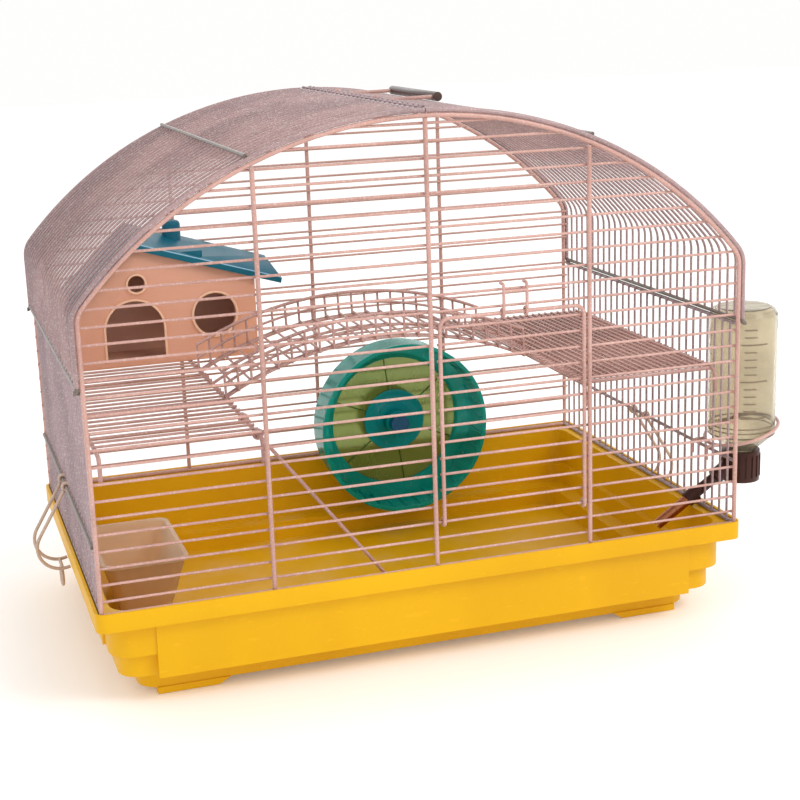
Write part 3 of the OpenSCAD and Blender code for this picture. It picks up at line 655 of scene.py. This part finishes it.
# %% [markdown]
# The lip of the doorway follows its two straight sides and its arch. A small square section is
# pulled up from the sill, spun half a turn over the arch and pulled down to the sill again.
# %% The lip of the doorway
doorway_x, doorway_half, sill_z, spring_z = -143.0, 21.1, 163.3, 184.8
doorway_rise = Vector((0, 0, spring_z - sill_z)) * mm
arch_centre = Vector((doorway_x, wall_front, spring_z)) * mm
bpy.ops.object.select_all(action="DESELECT")
bpy.ops.mesh.primitive_plane_add(size=1.5 * mm,
    location=Vector((doorway_x + doorway_half, wall_front - 0.05, sill_z)) * mm)
lip = bpy.context.object
edit(lip)
bpy.ops.mesh.extrude_region_move(TRANSFORM_OT_translate={"value": doorway_rise})
bpy.ops.mesh.spin(steps=24, angle=math.pi, center=arch_centre, axis=(0, 1, 0))
bpy.ops.mesh.extrude_region_move(TRANSFORM_OT_translate={"value": -doorway_rise})
# The doorway's lip takes the lighter rim finish too, painted light.
done(lip, "doorway_lip", "cage", "house_plastic", "house_rim_painted_light")

# %% [markdown]
# The front edge of the roof is turned up into a thin bead, which stiffens it. Its finish is much
# lighter than the roof: a painted highlight, the light line along that edge. A small square section
# is pulled from the left eave to the top and down to the right eave. It rides on the roof, so it
# lifts off with it.
# %% The bead along the front of the roof
bead_y = 79.4
eave_left, crown, eave_right = (Vector((x, bead_y, z)) * mm for x, z in
    ((-202.6, 187.2), (-140, 245.4), (-37.6, 213.5)))
bpy.ops.object.select_all(action="DESELECT")
bpy.ops.mesh.primitive_plane_add(size=1.3 * mm, location=eave_left, rotation=(0, math.pi / 2, 0))
bead = bpy.context.object
edit(bead)
for start, end in ((eave_left, crown), (crown, eave_right)):
    bpy.ops.mesh.extrude_region_move(TRANSFORM_OT_translate={"value": end - start})
apply_modifier(bead, "BEVEL", width=0.3 * mm, segments=2, limit_method="ANGLE")
done(bead, "roof_front_bead", "house_lid", "roof_plastic", "roof_edge_painted_highlight")

# %% [markdown]
# A round flange spreads the pull of the hub over the see-through disc. It is a flat cylinder with a
# rolled rim and a shallow ring pressed into its face.
# %% The flange of the wheel's hub
wheel_x, wheel_z = 53.0, 90.35
flange_r, flange_thick, flange_y = 23.8, 1.3, 111.3
bpy.ops.object.select_all(action="DESELECT")
bpy.ops.mesh.primitive_cylinder_add(vertices=96, radius=flange_r * mm, depth=flange_thick * mm,
    location=Vector((wheel_x, flange_y, wheel_z)) * mm, rotation=(math.pi / 2, 0, 0))
flange = alone(bpy.context.object)
bpy.ops.object.transform_apply(location=True, rotation=True, scale=True)
edit(flange)
pick(flange, "FACE", lambda middle, way: way.y < -0.9)
bpy.ops.mesh.inset(thickness=3.2 * mm)
bpy.ops.mesh.inset(thickness=1.6 * mm, depth=-0.3 * mm)
bpy.ops.mesh.inset(thickness=0.8 * mm, depth=0.3 * mm)
apply_modifier(flange, "BEVEL", width=0.35 * mm, segments=3, limit_method="ANGLE",
    angle_limit=math.radians(50))
done(flange, "wheel_hub_flange", "wheel", "disc_teal")

# %% [markdown]
# Thin ribs run out from the hub of the wheel over its see-through disc, and keep it stiff. Each is
# a bar with a rounded ridge, turned about the axle by a sixth of a turn from the one before.
# %% Ribs of the wheel's disc
rib_count, rib_y, rib_out, rib_size = 6, 111.7, 36.3, Vector((0.9, 0.6, 24.6))
first_turn = 8
ribs = []
for turn in range(rib_count):
    bpy.ops.object.select_all(action="DESELECT")
    bpy.ops.mesh.primitive_cube_add(size=1, location=Vector((wheel_x, rib_y, wheel_z + rib_out)) * mm)
    rib = bpy.context.object
    edit(rib)
    bpy.ops.transform.resize(value=rib_size * mm)
    pick(rib, "EDGE", lambda middle, way: middle.y < 0 and abs(way.z) > 0.9)
    bpy.ops.mesh.bevel(offset=0.25 * mm, segments=2)
    bpy.ops.mesh.select_all(action="SELECT")
    bpy.ops.transform.rotate(value=math.radians(360 / rib_count * turn + first_turn), orient_axis="Y",
        center_override=Vector((wheel_x, 0, wheel_z)) * mm)
    alone(rib)
    ribs.append(rib)
for rib in ribs:
    rib.select_set(True)
bpy.context.view_layer.objects.active = ribs[0]
bpy.ops.object.join()
done(bpy.context.object, "wheel_disc_ribs", "wheel", "wheel_green", "wheel_rib")

# %% [markdown]
# The cage stands on a plain pale floor that runs out of sight. A floor lit only by the lamps would
# turn grey at its far end, so its card also glows very faintly.
# %% The floor
bpy.ops.object.select_all(action="DESELECT")
bpy.ops.mesh.primitive_plane_add(size=12, location=(0, 0, -0.0004))
floor = bpy.context.object
floor.name = "studio_floor"
card = Finish("studio_card", Roughness=0.7, Emission_Color=(1, 1, 1, 1), Emission_Strength=0.12)
card.feed("Base Color", card.mix(card.noise(3, 2), (0.93, 0.925, 0.915), (0.9, 0.895, 0.885)))
floor.data.materials.append(card.material)
